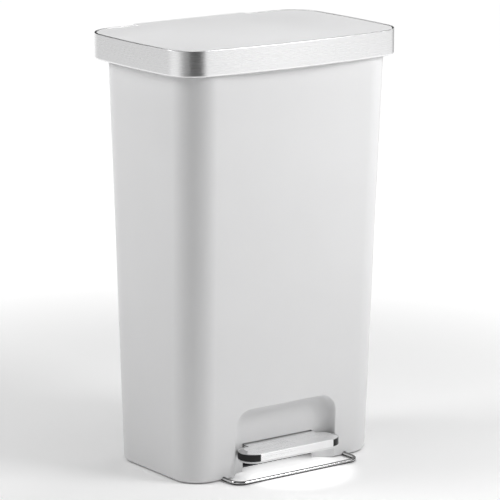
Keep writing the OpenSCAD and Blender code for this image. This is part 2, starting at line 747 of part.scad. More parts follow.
module lid_top_panel() color("white") placed() difference() {
    union() {
        hull() {
            slab(panel_outline(0), panel_z, band_top_z - 1.4 - panel_z);
            slab(panel_outline(1.2), band_top_z - 0.6, eps);
            slab(panel_outline(14), band_top_z, eps);
            slab(panel_outline(50), band_top_z + 1, eps);
            slab(panel_outline(95), lid_top_z - eps, eps);
        }
        translate([0, 0, panel_z]) linear_extrude(band_top_z - 1.4 - panel_z) hinge_cover_outline(0);
    }
    difference() {
        slab(panel_outline(4), panel_z - 1, band_top_z - 3.4 - panel_z + 1);
        for (p = lid_screw_points) translate([p[0], p[1], panel_z - 2]) cylinder(r = 4.5, h = 8);
    }
    z_holes(lid_screw_points, lid_plate_z, lid_plate_z + 14);
}

module lid_band() color("lightgray") placed() difference() {
    slab(lid_outline(0), band_bottom_z, band_top_z - band_bottom_z);
    slab(lid_outline(band_t), band_bottom_z + 1, band_top_z - band_bottom_z - 2);
    slab(lid_outline(band_lip), band_bottom_z - 1, band_top_z);
    block([-hinge_cover_w / 2 - 0.5, 100, 600], [hinge_cover_w / 2 + 0.5, 150, 700]);
}

module knuckle_profile() {
    translate([hinge_y, hinge_z]) union() {
        translate([-12.5, 4.5]) square([12.5 + knuckle_r, lid_plate_z - hinge_z - 4]);
        circle(r = knuckle_r);
    }
}

module lid_base() color("white") placed() difference() {
    union() {
        difference() {
            slab(lid_outline(band_t + 0.05), band_bottom_z + 1.05, panel_z - band_bottom_z - 1.1);
            slab(lid_outline(skirt_in), band_bottom_z, lid_plate_z - band_bottom_z);
            slab(lid_outline(skirt_in), lid_plate_z + lid_plate_t, 30);
            block([-hinge_cover_w / 2, 100, 600], [hinge_cover_w / 2, 150, lid_plate_z]);
        }
        block([-hinge_cover_w / 2 + 3, 118, lid_plate_z],
            [hinge_cover_w / 2 - 3, hinge_y + knuckle_r, lid_plate_z + lid_plate_t]);
        yz_plate(knuckle_xs[0], knuckle_xs[1]) knuckle_profile();
        yz_plate(-knuckle_xs[1], -knuckle_xs[0]) knuckle_profile();
    }
    block([-hinge_cover_w / 2, 129.5, lid_plate_z + lid_plate_t], [hinge_cover_w / 2, 150, 700]);
    x_rod(-100, 100, hinge_y, hinge_z, bushing_r + fit_gap);
    z_holes(lid_screw_points, 600, 660);
    z_holes(cam_screw_points, 600, 660);
}

// Wall around the hinge, under the panel's step
module lid_hinge_cover() color("white") placed() difference() {
    translate([0, 0, hinge_z - 2]) linear_extrude(panel_z - hinge_z + 2) hinge_cover_outline(0);
    translate([0, 0, hinge_z - 5]) linear_extrude(40) hinge_cover_outline(2);
    block([-110, 100, 600], [110, lid_rear + 0.5, 700]);
}

// Involute of the cam's base circle, in the hinge's frame: the rod touches it at opening angle a
function cam_point(a) = let (h = cam_low + cam_r * a * PI / 180)
    [-cam_r * cos(a) - h * sin(a), -cam_r * sin(a) + h * cos(a)];

module lid_cam_arm() color("whitesmoke") placed() difference() {
    union() {
        translate([0, hinge_y, hinge_z]) rotate([-rod_tilt, 0, 0]) yz_plate(-cam_half_w, cam_half_w)
            polygon(concat([[-cam_r - 3, cam_low]], [for (i = [0 : 16]) cam_point(i * lid_open / 16)],
                [[2.2, -19.5], [2.2, 6], [-2, 10], [-cam_r - 12, 10], [-cam_r - 12, 4]]));
        block([-20, 86, lid_plate_z - cam_flange_t], [20, 129, lid_plate_z]);
    }
    z_holes(cam_screw_points, 600, 660);
    block([-30, 80, lid_plate_z], [30, 150, lid_plate_z + 20]);
}

module lid_cam_screws() color("silver") placed() for (p = cam_screw_points)
    translate([p[0], p[1], lid_plate_z - cam_flange_t]) pan_screw(m3, cam_flange_t + lid_plate_t + 0.5);

module hinge_bushing(x) color("gainsboro") placed() difference() {
    x_rod(x, x + knuckle_xs[1] - knuckle_xs[0], hinge_y, hinge_z, bushing_r);
    x_rod(x - 1, x + 21, hinge_y, hinge_z, hinge_pin_r + run_gap);
}

module hinge_bushing_left() hinge_bushing(-knuckle_xs[1]);
module hinge_bushing_right() hinge_bushing(knuckle_xs[0]);

module lid_screws() color("silver") placed()
    for (p = lid_screw_points) translate([p[0], p[1], lid_plate_z]) pan_screw(m3, 12);

module lid_bumpers() color("dimgray") placed()
    for (p = bumper_points) translate([p[0], p[1], rim_z + liner_flange_t + fit_gap])
        cylinder(r = 4.5, h = bumper_t - fit_gap);

body_shell();
base_plate();
base_plate_screws();
foot_front_left();
foot_front_right();
foot_rear_left();
foot_rear_right();
stabiliser_wire();
wire_retainer_left();
wire_retainer_right();
wire_retainer_screws();
axle_bracket_left();
axle_bracket_right();
axle_bracket_screws();
pedal_axle();
axle_clip_left();
axle_clip_right();
rod_guide_lower();
rod_guide_upper();
rod_guide_screws();
channel_cover();
channel_cover_screws();
damper_cylinder();
damper_cap();
damper_bracket();
hinge_bracket();
hinge_bracket_screws();
hinge_pin_left();
hinge_pin_right();
liner_rim();
pedal_lever();
axle_bushing_left();
axle_bushing_right();
lever_nose();
pedal_body();
pedal_cover();
pedal_screws();
push_rod();
rod_foot();
rod_tip();
damper_piston();
damper_link();
lid_top_panel();
lid_band();
lid_base();
lid_hinge_cover();
lid_cam_arm();
lid_cam_screws();
hinge_bushing_left();
hinge_bushing_right();
lid_screws();
lid_bumpers();
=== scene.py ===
"""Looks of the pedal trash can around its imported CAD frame, in metres: +Z is up and the front is at -Y.

The CAD nodes give every place. The visible shells are rebuilt here with smooth outlines and rounded edges.
The other nodes keep their shape and get rounded edges. Every surface has a procedural material.
"""

import json
from math import cos, sin, pi, radians, sqrt, atan2

import bmesh
import bpy
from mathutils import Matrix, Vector


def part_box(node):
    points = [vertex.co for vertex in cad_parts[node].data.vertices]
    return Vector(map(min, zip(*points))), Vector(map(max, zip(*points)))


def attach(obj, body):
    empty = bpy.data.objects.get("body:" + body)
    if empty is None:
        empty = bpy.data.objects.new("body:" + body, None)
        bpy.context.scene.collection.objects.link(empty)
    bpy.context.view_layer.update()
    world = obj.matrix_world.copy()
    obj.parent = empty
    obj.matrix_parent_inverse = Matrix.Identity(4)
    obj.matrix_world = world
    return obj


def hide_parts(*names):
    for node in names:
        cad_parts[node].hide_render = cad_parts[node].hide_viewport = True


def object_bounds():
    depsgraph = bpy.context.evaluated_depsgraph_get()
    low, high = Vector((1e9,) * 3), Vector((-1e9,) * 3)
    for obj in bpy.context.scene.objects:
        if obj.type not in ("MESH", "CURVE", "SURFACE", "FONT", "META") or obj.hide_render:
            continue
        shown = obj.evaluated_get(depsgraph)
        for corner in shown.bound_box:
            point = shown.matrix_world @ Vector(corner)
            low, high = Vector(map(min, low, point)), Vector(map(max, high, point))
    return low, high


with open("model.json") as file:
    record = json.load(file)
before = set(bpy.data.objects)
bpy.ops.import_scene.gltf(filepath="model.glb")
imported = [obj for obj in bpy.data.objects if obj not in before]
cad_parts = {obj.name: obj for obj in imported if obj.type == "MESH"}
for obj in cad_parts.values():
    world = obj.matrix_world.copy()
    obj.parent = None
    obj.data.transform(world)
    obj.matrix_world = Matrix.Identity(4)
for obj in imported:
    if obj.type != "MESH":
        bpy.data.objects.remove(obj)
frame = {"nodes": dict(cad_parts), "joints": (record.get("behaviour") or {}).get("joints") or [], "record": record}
cad_low, cad_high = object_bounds()

MM = 0.001

# ---------------------------------------------------------------- sizes taken from the frame
BODY_LOW, BODY_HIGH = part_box("body_shell")
BAND_LOW, BAND_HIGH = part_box("lid_band")
PANEL_LOW, PANEL_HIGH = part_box("lid_top_panel")
BASE_LOW, BASE_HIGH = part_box("lid_base")
COVER_LOW, COVER_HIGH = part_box("lid_hinge_cover")
LINER_LOW, LINER_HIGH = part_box("liner_rim")
PEDAL_LOW, PEDAL_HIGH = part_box("pedal_cover")
PEDAL_BODY_LOW, PEDAL_BODY_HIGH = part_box("pedal_body")
WIRE_LOW, WIRE_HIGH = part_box("stabiliser_wire")
GUIDE_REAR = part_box("rod_guide_lower")[1].y
BUMPER_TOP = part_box("lid_bumpers")[1].z
HINGE = next(j for j in frame["joints"] if j["name"] == "lid_hinge")

# ---------------------------------------------------------------- body
RIM_LEAN = 4.7 * MM
CAN_Y = (BODY_LOW.y + BODY_HIGH.y) / 2 + RIM_LEAN
RIM_Z, BASE_Z = BODY_HIGH.z, BODY_LOW.z
RIM_W, RIM_D = BODY_HIGH.x - BODY_LOW.x, BODY_HIGH.y - BODY_LOW.y
RIM_R = 48 * MM
BOTTOM_W, BOTTOM_D, BOTTOM_R = 347 * MM, 205 * MM, 43.5 * MM
WALL = 3 * MM
FLOOR_Z = 62 * MM
CORNER_STEPS = 24


def mix(a, b, t):
    return a + (b - a) * t


def round_rect(half_w, y_low, y_high, r, steps=CORNER_STEPS):
    """Points of a rounded rectangle, counter-clockwise from its right side."""
    corners = [(half_w - r, y_high - r, 0), (-half_w + r, y_high - r, 90),
               (-half_w + r, y_low + r, 180), (half_w - r, y_low + r, 270)]
    return [(cx + r * cos(radians(start + 90 * i / steps)), cy + r * sin(radians(start + 90 * i / steps)))
            for cx, cy, start in corners for i in range(steps + 1)]


def quarter(steps):
    """Angles of a quarter turn in equal steps."""
    return [pi / 2 * i / steps for i in range(steps + 1)]


def rounded(r, steps):
    """Distances (across, along) from the sharp corner of an edge to its rounding by r."""
    return [(r * (1 - sin(a)), r * (1 - cos(a))) for a in quarter(steps)]


def front_y(z):
    """Place of the front wall's face at height z."""
    t = z / RIM_Z
    return CAN_Y - RIM_LEAN * t - mix(BOTTOM_D, RIM_D, t) / 2


def body_ring(z, inset=0.0):
    """The body's section at height z."""
    t = z / RIM_Z
    centre = CAN_Y - RIM_LEAN * t
    half_d = mix(BOTTOM_D, RIM_D, t) / 2 - inset
    points = round_rect(mix(BOTTOM_W, RIM_W, t) / 2 - inset, centre - half_d, centre + half_d,
                        mix(BOTTOM_R, RIM_R, t) - inset)
    return [(x, y, z) for x, y in points]


# ---------------------------------------------------------------- mesh helpers
def add_object(name, mesh):
    piece = bpy.data.objects.new(name, mesh)
    bpy.context.scene.collection.objects.link(piece)
    return piece


def mesh_from(name, points, faces):
    mesh = bpy.data.meshes.new(name)
    mesh.from_pydata([tuple(p) for p in points], [], faces)
    bm = bmesh.new()
    bm.from_mesh(mesh)
    bmesh.ops.remove_doubles(bm, verts=bm.verts, dist=1e-6)
    bmesh.ops.recalc_face_normals(bm, faces=bm.faces)
    bm.to_mesh(mesh)
    bm.free()
    return add_object(name, mesh)


def loft(name, rings, endless=False):
    """Solid through closed rings of equal length. An endless one joins its last ring to its first."""
    count, length = len(rings[0]), len(rings)
    faces = [(k * count + i, k * count + (i + 1) % count,
              (k + 1) % length * count + (i + 1) % count, (k + 1) % length * count + i)
             for k in range(length if endless else length - 1) for i in range(count)]
    if not endless:
        faces += [tuple(range(count)), tuple(range((length - 1) * count, length * count))]
    return mesh_from(name, [p for ring in rings for p in ring], faces)


def block(low, high):
    """Box between two corners, used only as a cutter."""
    corners = [(x, y, z) for z in (low[2], high[2]) for x, y in
               ((low[0], low[1]), (high[0], low[1]), (high[0], high[1]), (low[0], high[1]))]
    faces = [(3, 2, 1, 0), (4, 5, 6, 7), (0, 1, 5, 4), (1, 2, 6, 5), (2, 3, 7, 6), (3, 0, 4, 7)]
    return mesh_from("cutter", corners, faces)


def apply_modifiers(piece):
    """Makes the piece's modifiers part of its mesh."""
    graph = bpy.context.evaluated_depsgraph_get()
    mesh = bpy.data.meshes.new_from_object(piece.evaluated_get(graph))
    piece.modifiers.clear()
    piece.data = mesh


def combine(piece, tools, operation="DIFFERENCE"):
    for tool in tools:
        step = piece.modifiers.new(operation, "BOOLEAN")
        step.operation = operation
        step.solver = "EXACT"
        step.object = tool
    bpy.context.view_layer.update()
    apply_modifiers(piece)
    for tool in tools:
        bpy.data.objects.remove(tool)
    return piece


def smooth(piece, angle=32, bevel=0.0, segments=3, limit=35, clamp=True):
    """Rounds the sharp edges by bevel and shades everything flatter than angle as one surface."""
    if bevel:
        step = piece.modifiers.new("edges", "BEVEL")
        step.width = bevel
        step.segments = segments
        step.limit_method = "ANGLE"
        step.angle_limit = radians(limit)
        step.use_clamp_overlap = clamp
        bpy.context.view_layer.update()
        apply_modifiers(piece)
    piece.data.shade_smooth()
    piece.data.set_sharp_from_angle(angle=radians(angle))
    step = piece.modifiers.new("normals", "WEIGHTED_NORMAL")
    step.keep_sharp = True
    step.weight = 60
    bpy.context.view_layer.update()
    apply_modifiers(piece)
    return piece


# ---------------------------------------------------------------- material helpers
class Nodes:
    """Short way to write a node material."""

    def __init__(self, name):
        self.open(bpy.data.materials.new(name))

    def open(self, material):
        self.material = material
        material.use_nodes = True
        self.tree = material.node_tree
        self.shader = self.tree.nodes["Principled BSDF"]
        self.coords = self.add("ShaderNodeTexCoord")
        self.place = self.coords.outputs["Object"]

    @classmethod
    def around(cls, material):
        """The same tools for a material that exists already."""
        n = cls.__new__(cls)
        n.open(material)
        return n

    def add(self, kind, inputs=None, **settings):
        node = self.tree.nodes.new(kind)
        for key, value in settings.items():
            setattr(node, key, value)
        for key, value in (inputs or {}).items():
            if isinstance(value, bpy.types.NodeSocket):
                self.tree.links.new(value, node.inputs[key])
            else:
                node.inputs[key].default_value = value
        return node

    def stretch(self, scale):
        """Object coordinates scaled along each axis, for a grain with a direction."""
        return self.add("ShaderNodeMapping", {"Vector": self.place, "Scale": scale}).outputs["Vector"]

    def noise(self, scale, detail=3.0, rough=0.55, vector=None):
        inputs = {"Vector": vector or self.place, "Scale": scale, "Detail": detail, "Roughness": rough}
        return self.add("ShaderNodeTexNoise", inputs).outputs["Fac"]

    def ramp(self, value, low, high, a, b, kind="LINEAR"):
        inputs = {"Value": value, "From Min": low, "From Max": high, "To Min": a, "To Max": b}
        return self.add("ShaderNodeMapRange", inputs, interpolation_type=kind).outputs["Result"]

    def math(self, operation, a, b=None):
        inputs = {0: a} if b is None else {0: a, 1: b}
        return self.add("ShaderNodeMath", inputs, operation=operation).outputs[0]

    def vector(self, operation, output, a, b=None):
        inputs = {0: a} if b is None else {0: a, 1: b}
        return self.add("ShaderNodeVectorMath", inputs, operation=operation).outputs[output]

    def blend(self, factor, a, b):
        node = self.add("ShaderNodeMix", data_type="RGBA")
        for socket, value in ((node.inputs["Factor"], factor), (node.inputs[6], a), (node.inputs[7], b)):
            if isinstance(value, bpy.types.NodeSocket):
                self.tree.links.new(value, socket)
            else:
                socket.default_value = value
        return node.outputs[2]

    def bump(self, height, strength, distance, before=None):
        inputs = {"Height": height, "Strength": strength, "Distance": distance}
        if before:
            inputs["Normal"] = before
        return self.add("ShaderNodeBump", inputs).outputs["Normal"]

    def set(self, **sockets):
        for key, value in sockets.items():
            name = key.replace("_", " ")
            if isinstance(value, bpy.types.NodeSocket):
                self.tree.links.new(value, self.shader.inputs[name])
            else:
                self.shader.inputs[name].default_value = value
        return self.material


def grey(value, tint=0.0):
    return (value, value, value + tint, 1.0)


def moulded_plastic(name, shade, rough, texture=0.00003, tint=0.004):
    """Moulded plastic: faint flow clouds, a fine spark-eroded skin and small scuffs."""
    n = Nodes(name)
    clouds = n.noise(7.0, 2.0)
    specks = n.noise(260.0, 2.0)
    skin = n.noise(1400.0, 2.0, 0.6)
    scuffs = n.ramp(n.noise(55.0, 6.0, 0.7, n.stretch((1.0, 1.0, 0.25))), 0.60, 0.78, 0.0, 1.0)
    colour = n.blend(n.ramp(clouds, 0.3, 0.7, 0.0, 1.0), grey(shade * 0.975, tint), grey(shade, tint))
    colour = n.blend(n.ramp(specks, 0.62, 0.75, 0.0, 0.25), colour, grey(shade * 0.93, tint))
    gloss = n.ramp(clouds, 0.3, 0.7, rough - 0.03, rough + 0.03)
    worn = n.math("ADD", gloss, n.ramp(scuffs, 0.0, 1.0, 0.0, 0.07))
    normal = n.bump(skin, 0.35, texture, n.bump(clouds, 0.2, 0.0006))
    return n.set(Base_Color=colour, Roughness=worn, Normal=normal, IOR=1.49, Specular_IOR_Level=0.5)


def brushed_metal(name, shade, rough, along, tint=0.004, strength=0.06):
    """Brushed steel: fine scratches along the given stretch, with long soft smudges."""
    n = Nodes(name)
    fine = n.noise(1.0, 3.0, 0.7, n.stretch(along))
    coarse = n.noise(0.35, 2.0, 0.5, n.stretch(along))
    smudge = n.noise(14.0, 3.0, 0.6)
    lines = n.math("ADD", fine, coarse)
    colour = n.blend(n.ramp(lines, 0.7, 1.3, 0.0, 1.0), grey(shade * 0.985, tint), grey(shade * 1.01, tint))
    gloss = n.ramp(lines, 0.75, 1.25, rough - 0.012, rough + 0.015)
    gloss = n.math("ADD", gloss, n.ramp(smudge, 0.45, 0.75, 0.0, 0.015))
    normal = n.bump(fine, strength, 0.00002)
    return n.set(Base_Color=colour, Metallic=1.0, Roughness=gloss, Normal=normal)


def plated_metal(name, shade, rough, tint=0.003):
    """Plated or polished metal with faint smudges and pitting."""
    n = Nodes(name)
    smudge = n.noise(38.0, 4.0, 0.6)
    pits = n.noise(900.0, 2.0)
    colour = n.blend(n.ramp(smudge, 0.35, 0.7, 0.0, 1.0), grey(shade * 0.95, tint), grey(shade, tint))
    gloss = n.ramp(smudge, 0.35, 0.7, rough * 0.8, rough * 1.25)
    return n.set(Base_Color=colour, Metallic=1.0, Roughness=gloss, Normal=n.bump(pits, 0.12, 0.00001))


def facing_parts(n):
    """Sideways share of the surface's normal, without its sign, and its upward share."""
    parts = n.add("ShaderNodeSeparateXYZ", {0: n.coords.outputs["Normal"]}).outputs
    return n.math("ABSOLUTE", parts["X"]), parts["Z"]


def pedal_metal(name, shade, rough):
    """Brushed steel along the pedal, with a painted dark reflection on its rounded ends and half of it on the
    slopes above.
    """
    material = brushed_metal(name, shade, rough, (9.0, 5200.0, 5200.0), strength=0.02)
    n = Nodes.around(material)
    sideways, upward = facing_parts(n)
    # Painted dark reflection, placed by the surface's direction: nearly black on the rounded ends, half dark on
    # the slopes above them.
    skirt = n.math("MULTIPLY", n.ramp(sideways, 0.05, 0.09, 0.0, 1.0), n.ramp(upward, 0.3, 0.6, 1.0, 0.0))
    slope_reflection = n.ramp(sideways, 0.15, 0.19, 0.0, 0.5)
    painted_reflection = n.math("MAXIMUM", skirt, slope_reflection)
    steel = n.shader.inputs["Base Color"].links[0].from_socket
    return n.set(Base_Color=n.blend(painted_reflection, steel, grey(0.012)), Metallic=0.5)


def wire_metal(name, shade, rough):
    """Polished wire with a painted dark reflection along its underside and a weaker painted dark reflection along
    its top.
    """
    material = plated_metal(name, shade, rough)
    n = Nodes.around(material)
    _, upward = facing_parts(n)
    # Painted dark reflection, placed by the surface's direction: black under the wire, four fifths as dark on its
    # top.
    painted_reflection = n.math("MAXIMUM", n.ramp(upward, -0.2, 0.1, 1.0, 0.0), n.ramp(upward, 0.6, 0.8, 0.0, 0.8))
    steel = n.shader.inputs["Base Color"].links[0].from_socket
    return n.set(Base_Color=n.blend(painted_reflection, steel, grey(0.02)), Metallic=n.ramp(painted_reflection, 0.0, 1.0, 1.0, 0.0),
                 Specular_IOR_Level=0.0)


def rubber(name, shade):
    n = Nodes(name)
    grain = n.noise(700.0, 4.0, 0.7)
    dust = n.noise(45.0, 4.0, 0.6)
    colour = n.blend(n.ramp(dust, 0.45, 0.75, 0.0, 1.0), grey(shade), grey(shade * 1.9, 0.002))
    return n.set(Base_Color=colour, Roughness=n.ramp(grain, 0.3, 0.7, 0.72, 0.88),
                 Normal=n.bump(grain, 0.5, 0.00005))


MATERIALS = {
    "body_plastic": moulded_plastic("body_plastic", 0.80, 0.40),
    "lid_plastic": moulded_plastic("lid_plastic", 0.88, 0.38),
    "trim_plastic": moulded_plastic("trim_plastic", 0.80, 0.36),
    "inner_plastic": moulded_plastic("inner_plastic", 0.62, 0.45, tint=0.01),
    "dark_plastic": moulded_plastic("dark_plastic", 0.03, 0.5, 0.00008),
    "nylon": moulded_plastic("nylon", 0.74, 0.34, tint=-0.05),
    "rubber": rubber("rubber", 0.02),
    "band_steel": brushed_metal("band_steel", 0.80, 0.27, (9.0, 9.0, 5200.0), strength=0.006),
    "pedal_steel": pedal_metal("pedal_steel", 0.94, 0.28),
    "chrome_wire": wire_metal("chrome_wire", 0.86, 0.10),
    "zinc_steel": plated_metal("zinc_steel", 0.58, 0.34),
    "fastener_steel": plated_metal("fastener_steel", 0.52, 0.28),
}
SLOT_OF = {row["node"]: row["material_slot"] for row in frame["record"]["subparts"]}


def finish_piece(piece, body, slot, *nodes):
    """Puts a new piece on its body, with the material of its slot, in place of its CAD nodes."""
    piece.data.materials.clear()
    piece.data.materials.append(MATERIALS[slot])
    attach(piece, body)
    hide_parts(*nodes)
    return piece


# ---------------------------------------------------------------- toe recess and doorway
RECESS_HALF, RECESS_Z, RECESS_BACK = 92 * MM, 102.5 * MM, CAN_Y - 84 * MM
RECESS_CORNER, RECESS_SIDE_R, RECESS_TOP_R = 28 * MM, 26 * MM, 18 * MM
RECESS_LIP = 2.2 * MM
RECESS_DEPTH = 20 * MM
RECESS_LOW = -20 * MM
DOORWAY_HALF, DOORWAY_Z = 65.0 * MM, 45.2 * MM
DOORWAY_FRONT, DOORWAY_REAR = RECESS_BACK - 6 * MM, RECESS_BACK + 8 * MM
BELOW = -8 * MM
WIRE_R, WIRE_HOLE_R, WIRE_HOLE_Z = 3 * MM, 3.7 * MM, 3.4 * MM
CHANNEL_HALF, CHANNEL_FRONT, CHANNEL_LOW, CHANNEL_HIGH = 36 * MM, CAN_Y + 67 * MM, 30 * MM, 80 * MM
SLOT_HALF, SLOT_FRONT, SLOT_REAR, SLOT_LOW = 8 * MM, CAN_Y + 100 * MM, CAN_Y + 130 * MM, 580 * MM
OVER_RIM = RIM_Z + 5 * MM


def arch(half, top, r):
    """Outline of the recess in x and z: a doorway shape with round top corners."""
    right = [(half - r + r * cos(a), top - r + r * sin(a)) for a in quarter(CORNER_STEPS)]
    return [(half, RECESS_LOW)] + right + [(-x, z) for x, z in reversed(right)] + [(-half, RECESS_LOW)]


def recess_mouth(grow):
    """Sections at the front wall, as (share of the depth, inset). The plain recess has a rounded lip there.
    A grown one only cuts the space behind its walls, and has none."""
    if grow:
        return [(-0.5, -grow)]
    ahead, flare = 0.2, 0.176
    widest = RECESS_LIP * (1 - cos(radians(80))) + ahead * RECESS_DEPTH / flare
    lip = [((1 - sin(a)) * RECESS_LIP / RECESS_DEPTH, -RECESS_LIP * (1 - cos(a)))
           for a in (radians(80), radians(60), radians(40), radians(20))]
    return [(-ahead, -widest)] + lip


def recess_solid(grow=0.0):
    """The space of the toe recess, rounded where its sides and top meet its back."""
    back = RECESS_BACK + grow
    mean_front = front_y(RECESS_Z * 0.6)
    smallest_corner, corner_loss, steps = 8 * MM, 0.45, 18
    rings = []

    def ring(share, side, top, r):
        outline = arch(RECESS_HALF - side, RECESS_Z - top, r)
        return [(x, mix(front_y(z), back, share), z) for x, z in outline]

    for share, inset in recess_mouth(grow):
        rings.append(ring(share, inset, inset, RECESS_CORNER - inset))
    for a in quarter(steps)[1:]:
        share = mix(0.1, 1.0, sin(a))
        y = mix(mean_front, back, share)
        side, top = [r - sqrt(max((r + grow) ** 2 - max(y - (RECESS_BACK - r), 0) ** 2, 0))
                     for r in (RECESS_SIDE_R, RECESS_TOP_R)]
        corner = max(RECESS_CORNER - corner_loss * (side + top) / 2, smallest_corner)
        rings.append(ring(share, side, top, corner))
    return loft("recess", rings)


def wire_hole(x):
    """Cutter for a hole in the front wall that the wire's end passes."""
    steps, ahead_of_wall, behind_wall = 24, CAN_Y - 130 * MM, CAN_Y - 85 * MM
    circle = [(cos(2 * pi * i / steps), sin(2 * pi * i / steps)) for i in range(steps)]
    return loft("cutter", [[(x + WIRE_HOLE_R * u, y, WIRE_HOLE_Z + WIRE_HOLE_R * v) for u, v in circle]
                           for y in (ahead_of_wall, behind_wall)])


def make_body():
    """Tapered shell with a floor, the toe recess, and openings for pedal, wire, push rod and cam arm."""
    bottom_r, rim_r, floor_r, under_low = 5 * MM, 1 * MM, 8 * MM, -5 * MM
    rings = [body_ring(BASE_Z + up, inset) for inset, up in rounded(bottom_r, 8)]
    rings += [body_ring(RIM_Z - down, inset) for down, inset in rounded(rim_r, 4)]
    shell = loft("body", rings)
    inside = [body_ring(FLOOR_Z + up, WALL + inset) for inset, up in rounded(floor_r, 6)]
    bin_space = loft("bin_space", inside + [body_ring(OVER_RIM, WALL)])
    combine(bin_space, [recess_solid(WALL)])
    under = loft("under", [body_ring(under_low, WALL), body_ring(FLOOR_Z - WALL, WALL)])
    combine(under, [recess_solid(WALL)])
    doorway = block((-DOORWAY_HALF, DOORWAY_FRONT, BELOW), (DOORWAY_HALF, DOORWAY_REAR, DOORWAY_Z))
    wire_x = WIRE_HIGH.x - WIRE_R
    channel = block((-CHANNEL_HALF, CHANNEL_FRONT, CHANNEL_LOW), (CHANNEL_HALF, GUIDE_REAR, CHANNEL_HIGH))
    slot = block((-SLOT_HALF, SLOT_FRONT, SLOT_LOW), (SLOT_HALF, SLOT_REAR, OVER_RIM))
    combine(shell, [bin_space, under, recess_solid(), doorway, wire_hole(-wire_x), wire_hole(wire_x),
                    channel, slot])
    smooth(shell, 30)
    return finish_piece(shell, "can", "body_plastic", "body_shell")


# ---------------------------------------------------------------- lid outline
LID_R, LID_BOW_R = 49 * MM, 1310 * MM
LID_HALF = BAND_HIGH.x
LID_FRONT, LID_REAR = BAND_LOW.y, BAND_HIGH.y


def arc(centre, r, start, end, steps):
    """Points of an arc, without its first point."""
    angles = [mix(start, end, i / steps) for i in range(1, steps + 1)]
    return [(centre[0] + r * cos(a), centre[1] + r * sin(a)) for a in angles]


def lid_half(inset):
    """Right half of the lid's outline: bowed front, corner, bowed side, corner."""
    r, bow = LID_R - inset, LID_BOW_R - inset
    side_y = (LID_REAR + LID_FRONT) / 2
    front = Vector((0, LID_FRONT + inset + bow))
    side = Vector((LID_HALF - inset - bow, side_y))
    gap = side - front
    reach = sqrt((bow - r) ** 2 - gap.length_squared / 4)
    corner = (side + front) / 2 + reach * Vector((-gap.y, gap.x)) / gap.length
    rear_y = LID_REAR - inset - r
    rear = Vector((side.x + sqrt((bow - r) ** 2 - (rear_y - side_y) ** 2), rear_y))
    a1 = atan2(corner.y - front.y, corner.x - front.x)
    a2 = atan2(corner.y - side.y, corner.x - side.x)
    a3 = atan2(rear.y - side.y, rear.x - side.x)
    return ([(0, LID_FRONT + inset)] + arc(front, bow, -pi / 2, a1, 20) + arc(corner, r, a1, a2, 28)
            + arc(side, bow, a2, a3, 14) + arc(rear, r, a3, pi / 2, 28))


def lid_ring(inset, z):
    half = lid_half(inset)
    return [(x, y, z) for x, y in half] + [(-x, y, z) for x, y in reversed(half[1:])]


# ---------------------------------------------------------------- lid band
BAND_R = 3 * MM


def make_band():
    """Thin steel band with a rounded bottom and a lip along its top, open where the hinge cover sits."""
    low, high = BAND_LOW.z, BAND_HIGH.z
    thick, lip, roll, lip_edge = 1 * MM, 2.6 * MM, 0.8 * MM, 0.3 * MM
    profile = [(inset, low + up) for inset, up in rounded(BAND_R, 8)]
    profile += [(inset, high - down) for down, inset in rounded(roll, 6)]
    profile += [(lip - inset, high - down) for inset, down in rounded(lip_edge, 3)]
    profile += [(lip, high - thick), (thick, high - thick)]
    profile += [(thick + inset, low + thick + up) for up, inset in rounded(BAND_R - thick, 6)]
    gap = COVER_HIGH.x + 0.5 * MM
    outlines = {}
    for inset, _ in profile:
        half = lid_half(inset) + [(gap, LID_REAR - inset)]
        outlines[inset] = [(-x, y) for x, y in reversed(half)] + half[1:]
    count = len(outlines[lip])
    band = loft("lid_band_steel", [[(*outlines[inset][k], z) for inset, z in profile] for k in range(count)])
    smooth(band, 40)
    return finish_piece(band, "lid", "band_steel", "lid_band")


# ---------------------------------------------------------------- lid panel and hinge cover
PANEL_INSET = 3 * MM
STEP_R, STEP_FILLET = 6 * MM, 3 * MM


def step_outline(inset):
    """Right half of the step over the hinge, from the lid's rear edge to the middle of the step."""
    half, rear = COVER_HIGH.x - inset, COVER_HIGH.y - inset
    edge = LID_REAR - PANEL_INSET - inset
    fillet, r = STEP_FILLET + inset, STEP_R - inset
    inner = [(half + fillet - fillet * sin(a), edge + fillet - fillet * cos(a)) for a in quarter(8)]
    outer = [(half - r + r * cos(a), rear - r + r * sin(a)) for a in quarter(10)]
    return inner + outer + [(half * (1 - i / 12), rear) for i in range(1, 13)]


def panel_ring(inset, z):
    half = lid_half(PANEL_INSET + inset) + step_outline(inset)
    return [(x, y, z) for x, y in half] + [(-x, y, z) for x, y in reversed(half[1:-1])]


def panel_height(x, y, edge_z):
    """Gentle crown of the lid's top."""
    margin, power = 4 * MM, 2.4
    u = min(abs(x) / (LID_HALF - margin), 1)
    v = min(abs(y - (LID_FRONT + LID_REAR) / 2) / ((LID_REAR - LID_FRONT) / 2 - margin), 1)
    return edge_z + (PANEL_HIGH.z - edge_z) * (1 - u ** power) * (1 - v ** power)


def make_panel():
    """White top inside the band, with the step over the hinge."""
    roll, edge_z, low_edge, under = 1.3 * MM, BAND_HIGH.z - 0.4 * MM, 0.3 * MM, 4 * MM
    rings = [panel_ring(under, PANEL_LOW.z), panel_ring(low_edge, PANEL_LOW.z),
             panel_ring(0, PANEL_LOW.z + low_edge)]
    rings += [panel_ring(inset, edge_z - down) for down, inset in rounded(roll, 8)]
    edge = rings[-1]
    centre_y = (LID_FRONT + LID_REAR) / 2
    for a in quarter(24)[1:-1]:
        shrunk = [(x * cos(a), mix(centre_y, y, cos(a))) for x, y, _ in edge]
        rings.append([(x, y, panel_height(x, y, edge_z)) for x, y in shrunk])
    panel = loft("lid_panel", rings)
    smooth(panel, 40)
    return finish_piece(panel, "lid", "lid_plastic", "lid_top_panel")


